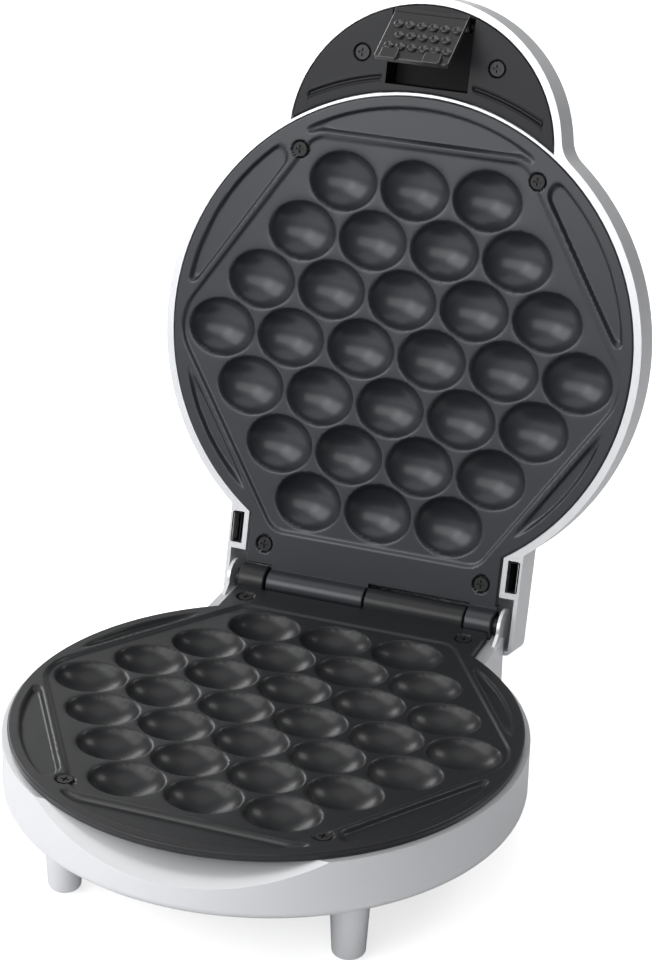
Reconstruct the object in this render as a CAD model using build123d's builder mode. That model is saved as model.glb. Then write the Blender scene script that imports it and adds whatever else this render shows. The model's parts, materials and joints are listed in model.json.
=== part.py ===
# Bubble waffle maker with two hinged cast plates, placed with its lid open.
# Millimetres, X along the hinge, Y from the front towards the hinge, Z up from the table.
# Every piece is drawn with the lid shut, about the centre of the round plates and
# the plane where the plates meet. The lid is swung open when the pieces are placed.
import os
from math import asin, cos, pi, radians, sin, sqrt

from build123d import *

os.makedirs("parts", exist_ok=True)

# Heights and the pose that the pieces are placed in
parting_height = 56.0
lid_open_angle = 103.7
latch_hang_angle = 49.0
stop_gap = 0.3

# Cups of the plates
cup_rows = (3, 4, 5, 6, 5, 4, 3)
cup_pitch = 31.0
cup_row_step = 22.5
cup_half_length = 14.3
cup_half_width = 12.4
cup_depth = 7.2
cup_sides = 18
cup_bands = 3
cup_fullness = 0.97

# Cast plates, with the sunken field that holds the cups
plate_lip = 3.2
plate_gap = 0.4
plate_floor = 2.2
plate_margin = 2.2
field_depth = 1.9
field_centre = 6.2
field_front_margin = 5.1
field_rear_margin = 3.1
field_side_margin = 5.2
field_corner_margin = 12.0
field_round = 9.0
field_body_inset = 1.2
ridge_width = 2.4
rim_width = 4.2
trough_depth = 1.7
flange_thickness = 4.2
flange_overlap = 19.2

# Plate screws, placed from the corners of the field, and their seats
front_screw_out = 8.0
front_screw_back = 7.0
rear_screw_out = 5.0
rear_screw_back = 5.5
rear_screw_side = 7.5
rear_screw_edge = 9.0
screw_boss_radius = 6.0
screw_post_radius = 3.4
screw_post_depth = 5.0
screw_seat_radius = 3.6
screw_seat_depth = 1.8
screw_head_radius = 2.9
screw_head_height = 1.5
screw_shank_radius = 1.5
screw_clearance = 0.2
screw_bite = 7.0
cross_width = 0.8
cross_length = 3.4
cross_depth = 0.8

# Hinge
knuckle_radius = 6.0
knuckle_overhang = 0.5
knuckle_split = 44.0
knuckle_gap = 0.25
pin_radius = 2.5
pin_fit = 0.05
pin_end_gap = 0.25
pin_head_radius = 4.0
pin_head_length = 1.4
swing_clearance = 0.8

# Base housing
wall = 2.2
base_step = 2.2
base_drop = 27.0
base_corner = 4.0
ledge_thickness = 3.0
ear_room = 3.0
rear_corner = 3.0
ear_radius = 7.6
ear_wall = 1.3
ear_reach = 12.5
facet_inset = 18.2
facet_bottom = 16.0
facet_wall = 2.0
facet_reach = 6.0
floor_ledge = 14.0

# Bottom cover and feet
cover_thickness = 2.0
cover_margin = 6.0
cover_side_margin = 6.2
cover_rear_margin = 4.0
cover_screw_inset = 3.5
cover_screw_angles = (30.0, 150.0, 205.0, 335.0)
vent_count = 7
vent_length = 30.0
vent_width = 2.6
vent_step = 8.0
front_foot_x = 57.7
front_foot_y = -59.8
rear_foot_x = 46.0
rear_foot_inset = 12.4
foot_top_radius = 7.7
foot_bottom_radius = 6.3
foot_edge = 2.2
foot_spigot_radius = 3.0
pad_radius = 4.6
pad_height = 2.0
pad_sink = 1.2

# Lid housing
lid_wall = 3.1
lid_start = 0.4
lid_height = 23.6
lid_edge = 6.0
lid_dome = 4.0
lid_blend = 13.0
lid_bore_gap = 0.3
arm_gap = 1.6
arm_wall = 1.7
hood_reach = 12.0
hood_wall = 2.0
rib_gap = 0.6
arm_pocket_reach = 27.8
arm_bar_reach = 14.3
arm_bar = 2.5
lid_roof = 2.2
arm_pocket_depth = 14.0

# Handle
handle_sink = 22.8
handle_rim = 3.3
grip_radius = 56.3
grip_thickness = 3.0
grip_gap = 0.3
grip_bore_wall = 1.0
grip_screw_x = 28.7
grip_screw_reach = 34.3
grip_boss_radius = 4.5
grip_ledge = 3.3
grip_hollow = 15.0
groove_offset = 6.2
groove_width = 1.4
groove_depth = 1.0
groove_start = 20.0
groove_end = 48.0

# Latch and the tray that it folds into
tray_half_width = 17.6
tray_front_wall = 3.3
tray_back_wall = 1.7
tray_depth = 10.0
tray_wall = 1.5
latch_setback = 3.6
latch_rise = 2.0
latch_half_width = 15.6
latch_barrel = 2.9
latch_thickness = 2.4
latch_lip_gap = 2.0
latch_hook_drop = 2.0
latch_hook_bite = 3.4
latch_hook_width = 7.0
latch_hook_x = 9.0
latch_catch_gap = 0.5
latch_pin_radius = 1.2
dot_radius = 1.7
dot_height = 0.8
dot_pitch = 4.9
dot_rows = (6, 5, 6)
dot_sides = 8
dot_first_row = 7.0
dot_row_step = 6.4

# Heating and electrical pieces
heater_radius = 62.0
heater_width = 6.4
heater_height = 5.6
heater_gap_angle = 26.0
heater_tail = 12.0
reflector_radius = 80.0
reflector_rise = 3.0
reflector_sheet = 0.8
thermostat_size = (24.0, 16.0, 5.0)
fuse_radius = 2.4
fuse_length = 20.0
fuse_place = 36.0
terminal_size = (32.0, 14.0, 8.0)
terminal_y = 84.0
terminal_ways = 3
terminal_hole_radius = 2.2
gland_x = -30.0
gland_rise = 7.5
gland_radius = 3.9
gland_bore = 2.9
gland_flange = 4.7
gland_flange_thickness = 2.0
gland_inside = 6.0
lamp_spread = 13.0
lamp_gap = 1.4
lens_radius = 4.0
lens_flange = 5.2
lens_flange_thickness = 1.0
lens_dome = 1.6
lamp_radius = 2.6
lamp_length = 9.0

# Plan of the plates, worked out from the cups
row_reach = cup_row_step * (len(cup_rows) - 1) / 2 + cup_half_width
field_front = field_centre - row_reach - field_front_margin
field_rear = field_centre + row_reach + field_rear_margin
field_corner = cup_pitch * (cup_rows[0] - 1) / 2 + field_corner_margin
field_vertex = cup_pitch * (max(cup_rows) - 1) / 2 + cup_half_length + field_side_margin
plate_radius = field_vertex + plate_margin
trough_radius = plate_radius - rim_width
front_screw = (field_corner + front_screw_out, field_front + front_screw_back)
rear_screw = (field_corner + rear_screw_out, field_rear + rear_screw_back)
plate_screws = [(side * x, y) for x, y in (front_screw, rear_screw) for side in (-1, 1)]
flange_half_width = rear_screw[0] + rear_screw_side
flange_front = field_rear - flange_overlap
flange_end = rear_screw[1] + rear_screw_edge
knuckle_end = flange_half_width + knuckle_overhang
swing_radius = knuckle_radius + swing_clearance
hinge_back = flange_end + swing_radius

# Plan of the housings, worked out from the plates
base_radius = plate_radius + base_step
rear_half_width = knuckle_end + ear_room + wall
rear_back = hinge_back + hood_reach * cos(radians(lid_open_angle)) - stop_gap
ear_front = hinge_back - ear_reach
facet_top = base_radius - facet_inset
floor_opening_radius = base_radius - floor_ledge
cover_radius = base_radius - cover_margin
cover_half_width = rear_half_width - cover_side_margin
cover_screw_radius = cover_radius - cover_screw_inset
rear_foot_y = rear_back - rear_foot_inset
bore_radius = plate_radius + lid_bore_gap
lid_radius = bore_radius + lid_wall
arm_inner = rear_half_width + arm_gap
arm_half_width = arm_inner + arm_wall
hood_back = hinge_back + hood_reach
rib_outer = rear_half_width - wall - rib_gap
arm_pocket_front = hinge_back - arm_pocket_reach
arm_bar_front = hinge_back - arm_bar_reach
arm_bar_back = arm_bar_front + arm_bar
handle_centre = handle_sink - lid_radius
handle_radius = grip_radius + handle_rim
grip_screw_y = handle_centre - grip_screw_reach
grip_screws = [(side * grip_screw_x, grip_screw_y) for side in (-1, 1)]
seat_radius = bore_radius + grip_bore_wall
cover_inner_radius = seat_radius + grip_gap
groove_radius = cover_inner_radius + groove_offset
tray_front = handle_centre - grip_radius + tray_front_wall
tray_back = -cover_inner_radius - tray_back_wall
latch_front = tray_front + latch_setback
latch_length = -latch_front - plate_radius - latch_lip_gap
latch_hook_reach = latch_length + latch_hook_bite
lamp_y = -reflector_radius - lamp_radius - lamp_gap

# Levels
face_level = -plate_gap / 2
lip_bottom = face_level - plate_lip
flange_bottom = face_level - flange_thickness
field_level = face_level - field_depth
plate_bottom = field_level - cup_depth - plate_floor
base_floor = -base_drop
cover_floor = base_floor - cover_thickness
table_level = -parting_height
lid_top = lid_start + lid_height
grip_top = lid_start + grip_thickness
heater_level = plate_bottom
reflector_level = heater_level - heater_height - reflector_sheet
gland_level = base_floor + gland_rise
hinge_line = Axis((0, hinge_back, 0), (1, 0, 0))
latch_line = Axis((0, latch_front, latch_rise), (1, 0, 0))


def both_sides(x, y):
    """The same place on the left and on the right."""
    return [(-x, y), (x, y)]


def field_outline(grow):
    """Corners of the six-sided cup field, with every edge moved outwards by grow."""
    front_run = (field_vertex - field_corner) / (field_centre - field_front)
    rear_run = (field_vertex - field_corner) / (field_rear - field_centre)
    side = field_vertex + grow * sqrt(1 + front_run**2)
    front_x = side - (field_centre - field_front + grow) * front_run
    rear_x = side - (field_rear + grow - field_centre) * rear_run
    right = [(front_x, field_front - grow), (side, field_centre), (rear_x, field_rear + grow)]
    return right + [(-x, y) for x, y in reversed(right)]


def cup_places():
    """Cup centres, row by row from the front."""
    middle = (len(cup_rows) - 1) / 2
    return [
        ((column - (count - 1) / 2) * cup_pitch, field_centre + (row - middle) * cup_row_step)
        for row, count in enumerate(cup_rows)
        for column in range(count)
    ]


def oval(half_length, half_width):
    """Corners of a many-sided oval."""
    turns = [2 * pi * (side + 0.5) / cup_sides for side in range(cup_sides)]
    return [(half_length * cos(turn), half_width * sin(turn)) for turn in turns]


# Cutter for one cup: ovals that close in like a ball towards the bottom
with BuildPart() as cup_cutter:
    for band in range(cup_bands + 1):
        sink = asin(cup_fullness) * band / cup_bands
        with BuildSketch(Plane.XY.offset(-cup_depth * sin(sink) / cup_fullness)):
            with BuildLine():
                Polyline(*oval(cup_half_length * cos(sink), cup_half_width * cos(sink)), close=True)
            make_face()
    loft(ruled=True)


def cast_plate():
    """One cast plate, face up, with its two hinge knuckles."""
    knuckles = (
        (-knuckle_end, -knuckle_split - knuckle_gap),
        (knuckle_gap, knuckle_split - knuckle_gap),
    )
    with BuildPart() as casting:
        # Round lip, and the flange that runs back to the hinge
        with BuildSketch(Plane.XY.offset(lip_bottom)):
            Circle(plate_radius)
        extrude(amount=plate_lip)
        with BuildSketch(Plane.XY.offset(flange_bottom)):
            with Locations((0, (flange_front + flange_end) / 2)):
                Rectangle(2 * flange_half_width, flange_end - flange_front)
        extrude(amount=flange_thickness)
        # Heavy body under the cup field
        with BuildSketch(Plane.XY.offset(plate_bottom)):
            with BuildLine():
                Polyline(*field_outline(-field_body_inset), close=True)
            make_face()
            fillet(vertices(), field_round)
        extrude(amount=face_level - plate_bottom)
        # Knuckles, each with the web that carries it
        for left, right in knuckles:
            with BuildSketch(Plane.YZ.offset(left)):
                with Locations((hinge_back, 0)):
                    Circle(knuckle_radius)
                with Locations(((flange_end + hinge_back) / 2, (face_level + flange_bottom) / 2)):
                    Rectangle(swing_radius, flange_thickness)
            extrude(amount=right - left)
        with BuildSketch(Plane.YZ):
            with Locations((hinge_back, 0)):
                Circle(pin_radius + pin_fit)
        extrude(amount=knuckle_end, both=True, mode=Mode.SUBTRACT)
        # Sunken six-sided field
        with BuildSketch(Plane.XY.offset(face_level)):
            with BuildLine():
                Polyline(*field_outline(0), close=True)
            make_face()
            fillet(vertices(), field_round)
        extrude(amount=-field_depth, mode=Mode.SUBTRACT)
        # Troughs between the ridge round the field and the rim
        with BuildSketch(Plane.XY.offset(face_level)):
            Circle(trough_radius)
            with BuildLine():
                Polyline(*field_outline(ridge_width), close=True)
            make_face(mode=Mode.SUBTRACT)
            with Locations(*plate_screws):
                Circle(screw_boss_radius, mode=Mode.SUBTRACT)
            with Locations((0, field_rear)):
                Rectangle(2 * flange_half_width, 2 * screw_boss_radius, mode=Mode.SUBTRACT)
        extrude(amount=-trough_depth, mode=Mode.SUBTRACT)
        # Cups
        with Locations(*[(x, y, field_level) for x, y in cup_places()]):
            add(cup_cutter.part, mode=Mode.SUBTRACT)
        # Screw seats and holes
        with Locations(*[(x, y, face_level) for x, y in plate_screws]):
            CounterBoreHole(screw_shank_radius + screw_clearance, screw_seat_radius, screw_seat_depth)
    return casting.part


def cross_screws(places, seat_level, bite):
    """Cross-head screws that point down, their heads resting on the seat level."""
    with BuildPart() as screws:
        with BuildSketch(Plane.XY.offset(seat_level - bite)):
            with Locations(*places):
                Circle(screw_shank_radius)
        extrude(amount=bite)
        with BuildSketch(Plane.XY.offset(seat_level)):
            with Locations(*places):
                Circle(screw_head_radius)
        extrude(amount=screw_head_height)
        with BuildSketch(Plane.XY.offset(seat_level + screw_head_height)):
            with Locations(*places):
                Rectangle(cross_length, cross_width)
                Rectangle(cross_width, cross_length)
        extrude(amount=-cross_depth, mode=Mode.SUBTRACT)
    return screws.part


def heater(level):
    """Flattened heating tube: an open ring with two tails towards the hinge."""
    half_gap = radians(heater_gap_angle / 2)
    tail_x = heater_radius * sin(half_gap)
    tail_y = heater_radius * cos(half_gap)
    with BuildPart() as tube:
        with BuildSketch(Plane.XY.offset(level - heater_height)):
            Circle(heater_radius + heater_width / 2)
            Circle(heater_radius - heater_width / 2, mode=Mode.SUBTRACT)
            with Locations((0, tail_y)):
                Rectangle(2 * tail_x, 2 * heater_width, mode=Mode.SUBTRACT)
            with Locations(*[(side * tail_x, tail_y + heater_tail / 2) for side in (-1, 1)]):
                Rectangle(heater_width, heater_tail + heater_width)
        extrude(amount=heater_height)
    return tube.part


def reflector(level):
    """Shallow sheet dish that sends the heat back to the plate."""
    with BuildPart() as dish:
        with BuildSketch(Plane.XZ):
            with BuildLine():
                Polyline(
                    (0, level),
                    (reflector_radius - reflector_rise, level),
                    (reflector_radius, level + reflector_rise),
                    (reflector_radius, level + reflector_rise + reflector_sheet),
                    (reflector_radius - reflector_rise, level + reflector_sheet),
                    (0, level + reflector_sheet),
                    close=True,
                )
            make_face()
        revolve(axis=Axis.Z)
        with BuildSketch(Plane.XY.offset(level)):
            with Locations((0, reflector_radius)):
                Rectangle(terminal_size[0] + heater_width, 2 * heater_tail)
        extrude(amount=reflector_rise + reflector_sheet, mode=Mode.SUBTRACT)
    return dish.part


def base_outline():
    """Plan of the base housing: the round bowl and its rear extension."""
    with BuildSketch() as plan:
        Circle(base_radius)
        with Locations((0, rear_back / 2)):
            Rectangle(2 * rear_half_width, rear_back)
    return plan.sketch


# Base housing: a round bowl whose front is cut by a sloping facet
facet_slope = (base_radius - facet_top) / (facet_bottom + lip_bottom)
facet_end = -facet_bottom - facet_reach / facet_slope
deck_bottom = lip_bottom - ledge_thickness
cover_screws = [
    (cover_screw_radius * cos(radians(turn)), cover_screw_radius * sin(radians(turn)))
    for turn in cover_screw_angles
]

with BuildPart() as base_hollow:
    with BuildSketch(Plane.XY.offset(base_floor + wall)):
        Circle(base_radius - wall)
        with Locations((0, (rear_back - wall) / 2)):
            Rectangle(2 * (rear_half_width - wall), rear_back - wall)
    extrude(amount=deck_bottom - base_floor - wall)
    with BuildSketch(Plane.YZ):
        with BuildLine():
            Polyline(
                (-facet_top + facet_wall, lip_bottom - facet_wall),
                (-base_radius - facet_reach, facet_end - facet_wall),
                (-base_radius - facet_reach, lip_bottom - facet_wall),
                close=True,
            )
        make_face()
    extrude(amount=base_radius, both=True, mode=Mode.SUBTRACT)
    # Posts for the plate's and the cover's screws
    with BuildSketch(Plane.XY.offset(deck_bottom)):
        with Locations(*plate_screws):
            Circle(screw_post_radius)
    extrude(amount=-screw_post_depth, mode=Mode.SUBTRACT)
    with BuildSketch(Plane.XY.offset(base_floor + wall)):
        with Locations(*cover_screws):
            Circle(screw_post_radius)
    extrude(amount=screw_post_depth, mode=Mode.SUBTRACT)

with BuildPart() as base_housing:
    with BuildSketch(Plane.XY.offset(base_floor)):
        add(base_outline())
    extrude(amount=lip_bottom - base_floor)
    fillet(base_housing.edges().group_by(Axis.Z)[0], base_corner)
    # Sloping facet below the front of the plate
    with BuildSketch(Plane.YZ):
        with BuildLine():
            Polyline(
                (-facet_top, lip_bottom),
                (-base_radius - facet_reach, facet_end),
                (-base_radius - facet_reach, lip_bottom),
                close=True,
            )
        make_face()
    extrude(amount=base_radius, both=True, mode=Mode.SUBTRACT)
    add(base_hollow.part, mode=Mode.SUBTRACT)
    # Floor opening, plate opening and the recess for the plate's rear flange
    with BuildSketch(Plane.XY.offset(base_floor)):
        Circle(floor_opening_radius)
        with Locations((0, rear_back / 2)):
            Rectangle(2 * (cover_half_width - 2 * cover_rear_margin), rear_back - 4 * cover_rear_margin)
    extrude(amount=wall, mode=Mode.SUBTRACT)
    with BuildSketch(Plane.XY.offset(lip_bottom)):
        with BuildLine():
            Polyline(*field_outline(swing_clearance), close=True)
        make_face()
    extrude(amount=-ledge_thickness, mode=Mode.SUBTRACT)
    with BuildSketch(Plane.XY.offset(flange_bottom)):
        with Locations((0, (flange_front + rear_back) / 2)):
            Rectangle(2 * (flange_half_width + swing_clearance), rear_back - flange_front + 2 * wall)
    extrude(amount=flange_thickness, mode=Mode.SUBTRACT)
    # Room for the knuckles above the rear wall
    with BuildSketch(Plane.YZ):
        with Locations((hinge_back, 0)):
            Circle(swing_radius)
    extrude(amount=flange_half_width + swing_clearance, both=True, mode=Mode.SUBTRACT)
    # Ears beside the hinge
    for side in (-1, 1):
        with BuildSketch(Plane.YZ.offset(side * (rear_half_width - wall + ear_wall / 2))):
            with Locations((hinge_back, 0)):
                Circle(ear_radius)
            with BuildLine():
                Polyline(
                    (ear_front, lip_bottom),
                    (hinge_back - ear_radius, 0),
                    (rear_back, 0),
                    (rear_back, lip_bottom - ear_radius),
                    (ear_front, lip_bottom - ear_radius),
                    close=True,
                )
            make_face()
        extrude(amount=ear_wall / 2, both=True)
    # Screw holes and the hole for the cord gland
    with Locations(*[(x, y, lip_bottom) for x, y in plate_screws]):
        Hole(screw_shank_radius + pin_fit, depth=ledge_thickness + screw_post_depth)
    with Locations(*[(x, y, base_floor + wall + screw_post_depth) for x, y in cover_screws]):
        Hole(screw_shank_radius + pin_fit, depth=wall + screw_post_depth)
    with BuildSketch(Plane.XZ.offset(-rear_back)):
        with Locations((gland_x, gland_level)):
            Circle(gland_radius + pin_fit)
    extrude(amount=2 * wall, mode=Mode.SUBTRACT)

# Bottom cover with vents
feet_places = {
    "front_left": (-front_foot_x, front_foot_y),
    "front_right": (front_foot_x, front_foot_y),
    "rear_left": (-rear_foot_x, rear_foot_y),
    "rear_right": (rear_foot_x, rear_foot_y),
}
with BuildPart() as bottom_cover:
    with BuildSketch(Plane.XY.offset(cover_floor)):
        Circle(cover_radius)
        with Locations((0, (rear_back - cover_rear_margin) / 2)):
            Rectangle(2 * cover_half_width, rear_back - cover_rear_margin)
        with GridLocations(0, vent_step, 1, vent_count):
            SlotOverall(vent_length, vent_width, mode=Mode.SUBTRACT)
        with Locations(*cover_screws):
            Circle(screw_shank_radius + screw_clearance, mode=Mode.SUBTRACT)
        with Locations(*feet_places.values()):
            Circle(foot_spigot_radius + pin_fit, mode=Mode.SUBTRACT)
    extrude(amount=cover_thickness)

with BuildPart() as foot:
    foot_bottom = table_level + pad_height - pad_sink
    with BuildSketch(Plane.XZ):
        with BuildLine():
            Polyline(
                (0, foot_bottom),
                (foot_bottom_radius, foot_bottom),
                (foot_top_radius, cover_floor),
                (foot_spigot_radius, cover_floor),
                (foot_spigot_radius, base_floor),
                (0, base_floor),
                close=True,
            )
        make_face()
    revolve(axis=Axis.Z)
    fillet(foot.edges().group_by(Axis.Z)[0], foot_edge)
    with BuildSketch(Plane.XY.offset(foot_bottom)):
        Circle(pad_radius - foot_edge / 2)
    extrude(amount=pad_sink, mode=Mode.SUBTRACT)

with BuildPart() as foot_pad:
    with BuildSketch(Plane.XY.offset(table_level)):
        Circle(pad_radius - foot_edge / 2 - pin_fit)
    extrude(amount=pad_height)

def crown(level):
    """Shallow dome over the lid, standing on the given level."""
    crown_edge = lid_radius - 2 * lid_edge
    crown_radius = (crown_edge**2 + lid_dome**2) / (2 * lid_dome)
    with BuildPart() as dome:
        with BuildSketch(Plane.XZ):
            with BuildLine():
                RadiusArc((0, level + lid_dome), (crown_edge, level), crown_radius)
                Polyline((crown_edge, level), (0, level), (0, level + lid_dome))
            make_face()
        revolve(axis=Axis.Z)
    return dome.part


# Lid housing with its handle in front and its hood behind
with BuildPart() as lid_housing:
    with BuildSketch(Plane.XY.offset(lid_start)):
        Circle(lid_radius)
        with Locations((0, handle_centre)):
            Circle(handle_radius)
    extrude(amount=lid_height)
    fillet(lid_housing.edges().filter_by(Axis.Z).group_by(Axis.Y)[0], lid_blend)
    with BuildSketch(Plane.XY.offset(lid_start)):
        with Locations((0, hood_back / 2)):
            Rectangle(2 * arm_half_width, hood_back)
    extrude(amount=lid_height)
    fillet(lid_housing.edges().filter_by(Axis.Z).group_by(Axis.Y)[-1], rear_corner)
    fillet(lid_housing.edges().group_by(Axis.Z)[-1], lid_edge)
    add(crown(lid_top))
    # Bore for the plate's lip, and the hollow above its deck
    with BuildSketch(Plane.XY.offset(lid_start)):
        Circle(bore_radius)
    extrude(amount=-lip_bottom - lid_start, mode=Mode.SUBTRACT)
    with BuildSketch(Plane.XY.offset(-deck_bottom)):
        Circle(bore_radius)
    extrude(amount=lid_top - lid_roof + deck_bottom, mode=Mode.SUBTRACT)
    add(crown(lid_top - lid_roof), mode=Mode.SUBTRACT)
    with BuildSketch(Plane.XY.offset(-lip_bottom)):
        with BuildLine():
            Polyline(*field_outline(swing_clearance), close=True)
        make_face()
    extrude(amount=ledge_thickness, mode=Mode.SUBTRACT)
    # Recess for the plate's rear flange, and the hood round the hinge
    with BuildSketch(Plane.XY.offset(lid_start)):
        with Locations((0, (flange_front + arm_bar_back) / 2)):
            Rectangle(2 * (flange_half_width + swing_clearance), arm_bar_back - flange_front)
    extrude(amount=-flange_bottom - lid_start, mode=Mode.SUBTRACT)
    with BuildSketch(Plane.XY.offset(lid_start)):
        with Locations((0, (arm_bar_back + hood_back - hood_wall) / 2)):
            Rectangle(2 * arm_inner, hood_back - hood_wall - arm_bar_back)
    extrude(amount=lid_height - lid_roof, mode=Mode.SUBTRACT)
    # Blind pockets in the arms
    with BuildSketch(Plane.XY.offset(lid_start)):
        with Locations(*both_sides((rib_outer + arm_inner) / 2, (arm_pocket_front + arm_bar_front) / 2)):
            Rectangle(arm_inner - rib_outer, arm_bar_front - arm_pocket_front)
    extrude(amount=arm_pocket_depth, mode=Mode.SUBTRACT)
    # Seat of the handle's cover, the hollow above it and the room for the latch tray
    with BuildSketch(Plane.XY.offset(lid_start)):
        with Locations((0, handle_centre)):
            Circle(grip_radius + grip_gap)
        Circle(seat_radius, mode=Mode.SUBTRACT)
    extrude(amount=grip_thickness, mode=Mode.SUBTRACT)
    with BuildSketch(Plane.XY.offset(grip_top)):
        with Locations((0, handle_centre)):
            Circle(grip_radius - grip_ledge)
        Circle(lid_radius + grip_ledge, mode=Mode.SUBTRACT)
        with Locations(*grip_screws):
            Circle(grip_boss_radius, mode=Mode.SUBTRACT)
    extrude(amount=grip_hollow, mode=Mode.SUBTRACT)
    with BuildSketch(Plane.XY.offset(grip_top)):
        with Locations((0, handle_centre)):
            Circle(grip_radius + grip_gap)
        Circle(seat_radius, mode=Mode.SUBTRACT)
        with Locations((0, handle_centre - grip_radius)):
            Rectangle(2 * (tray_half_width + tray_wall + grip_gap), 2 * grip_radius, mode=Mode.INTERSECT)
    extrude(amount=tray_depth + tray_wall + grip_gap - grip_thickness, mode=Mode.SUBTRACT)
    # Screw holes and lamp holes
    with Locations(*[(x, y, -deck_bottom) for x, y in plate_screws]):
        Hole(screw_shank_radius + pin_fit, depth=ledge_thickness)
    with Locations(*[(x, y, grip_top + screw_bite) for x, y in grip_screws]):
        Hole(screw_shank_radius + pin_fit, depth=screw_bite)
    lamp_places = both_sides(lamp_spread, lamp_y)
    with Locations(*[(x, y, lid_top + lid_dome) for x, y in lamp_places]):
        Hole(lens_radius + pin_fit, depth=lid_roof + lid_dome)

# Black cover of the handle, with the tray for the latch
with BuildPart() as handle_cover:
    with BuildSketch(Plane.XY.offset(lid_start)):
        with Locations((0, handle_centre)):
            Circle(grip_radius)
        Circle(cover_inner_radius, mode=Mode.SUBTRACT)
    extrude(amount=grip_thickness)
    with BuildSketch(Plane.XY.offset(grip_top)):
        with Locations((0, handle_centre)):
            Circle(grip_radius)
        Circle(cover_inner_radius, mode=Mode.SUBTRACT)
        with Locations((0, handle_centre - grip_radius)):
            Rectangle(2 * (tray_half_width + tray_wall), 2 * grip_radius, mode=Mode.INTERSECT)
    extrude(amount=tray_depth + tray_wall - grip_thickness)
    with BuildSketch(Plane.XY.offset(lid_start)):
        with Locations((0, (tray_front + tray_back) / 2)):
            Rectangle(2 * tray_half_width, tray_back - tray_front)
    extrude(amount=tray_depth, mode=Mode.SUBTRACT)
    with BuildSketch(Plane.YZ):
        with Locations((latch_front, latch_rise)):
            Circle(latch_pin_radius + pin_fit)
    extrude(amount=tray_half_width + tray_wall, both=True, mode=Mode.SUBTRACT)
    # Curved groove on each side
    with BuildSketch(Plane.XY.offset(lid_start)):
        Circle(groove_radius + groove_width / 2)
        Circle(groove_radius - groove_width / 2, mode=Mode.SUBTRACT)
        with Locations(*both_sides((groove_start + groove_end) / 2, -groove_radius)):
            Rectangle(groove_end - groove_start, groove_radius, mode=Mode.INTERSECT)
    extrude(amount=groove_depth, mode=Mode.SUBTRACT)
    with Locations(*[Location((x, y, lid_start), (180, 0, 0)) for x, y in grip_screws]):
        CounterBoreHole(screw_shank_radius + screw_clearance, screw_seat_radius, screw_seat_depth)

# Latch: a flap on a barrel, with grip dots below and two hooks at its end
hook_top = lip_bottom - latch_catch_gap
flap_bottom = hook_top + latch_hook_drop - latch_thickness + latch_catch_gap
with BuildPart() as latch:
    with BuildSketch(Plane.YZ):
        with Locations((latch_front, latch_rise)):
            Circle(latch_barrel)
        with Locations((latch_front + latch_barrel / 2, (latch_rise + flap_bottom) / 2)):
            Rectangle(latch_barrel, latch_rise - flap_bottom)
        with Locations((latch_front + latch_length / 2, flap_bottom + latch_thickness / 2)):
            Rectangle(latch_length, latch_thickness)
    extrude(amount=latch_half_width, both=True)
    # Hooks that catch below the lip of the lower plate
    for side in (-1, 1):
        with BuildSketch(Plane.YZ.offset(side * latch_hook_x)):
            with BuildLine():
                Polyline(
                    (latch_front + latch_length - latch_thickness, flap_bottom),
                    (latch_front + latch_length, flap_bottom),
                    (latch_front + latch_length, hook_top),
                    (latch_front + latch_hook_reach, hook_top),
                    (latch_front + latch_hook_reach, hook_top - latch_hook_drop / 2),
                    (latch_front + latch_length, hook_top - latch_hook_drop),
                    (latch_front + latch_length - latch_thickness, hook_top - latch_hook_drop),
                    close=True,
                )
            make_face()
        extrude(amount=latch_hook_width / 2, both=True)
    # Grip dots
    with BuildSketch(Plane.XY.offset(flap_bottom)):
        for row, count in enumerate(dot_rows):
            with Locations((0, latch_front + dot_first_row + row * dot_row_step)):
                with GridLocations(dot_pitch, 0, count, 1):
                    RegularPolygon(dot_radius, dot_sides)
    extrude(amount=-dot_height)
    with BuildSketch(Plane.YZ):
        with Locations((latch_front, latch_rise)):
            Circle(latch_pin_radius + pin_fit)
    extrude(amount=latch_half_width, both=True, mode=Mode.SUBTRACT)

with BuildPart() as latch_pin:
    with BuildSketch(Plane.YZ):
        with Locations((latch_front, latch_rise)):
            Circle(latch_pin_radius)
    extrude(amount=tray_half_width + tray_wall - pin_end_gap, both=True)

# Hinge pin with a head at the left, and the clip that holds its right end
pin_head_start = knuckle_end + pin_end_gap
with BuildPart() as hinge_pin:
    with BuildSketch(Plane.YZ.offset(-pin_head_start)):
        with Locations((hinge_back, 0)):
            Circle(pin_radius)
    extrude(amount=2 * pin_head_start + pin_head_length)
    with BuildSketch(Plane.YZ.offset(-pin_head_start)):
        with Locations((hinge_back, 0)):
            Circle(pin_head_radius)
    extrude(amount=-pin_head_length)

with BuildPart() as hinge_clip:
    with BuildSketch(Plane.YZ.offset(pin_head_start)):
        with Locations((hinge_back, 0)):
            Circle(pin_head_radius)
            Circle(pin_radius + pin_fit, mode=Mode.SUBTRACT)
            with Locations((pin_head_radius, 0)):
                Rectangle(2 * pin_head_radius, pin_radius, mode=Mode.SUBTRACT)
    extrude(amount=pin_head_length)

# Heating and electrical pieces of the base
with BuildPart() as thermostat:
    with BuildSketch(Plane.XY.offset(plate_bottom)):
        Rectangle(thermostat_size[0], thermostat_size[1])
    extrude(amount=-thermostat_size[2])
    fillet(thermostat.edges().filter_by(Axis.Z), thermostat_size[2] / 2)

with BuildPart() as thermal_fuse:
    with BuildSketch(Plane.YZ):
        with Locations((fuse_place, plate_bottom - fuse_radius)):
            Circle(fuse_radius)
    extrude(amount=fuse_length / 2, both=True)

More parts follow.
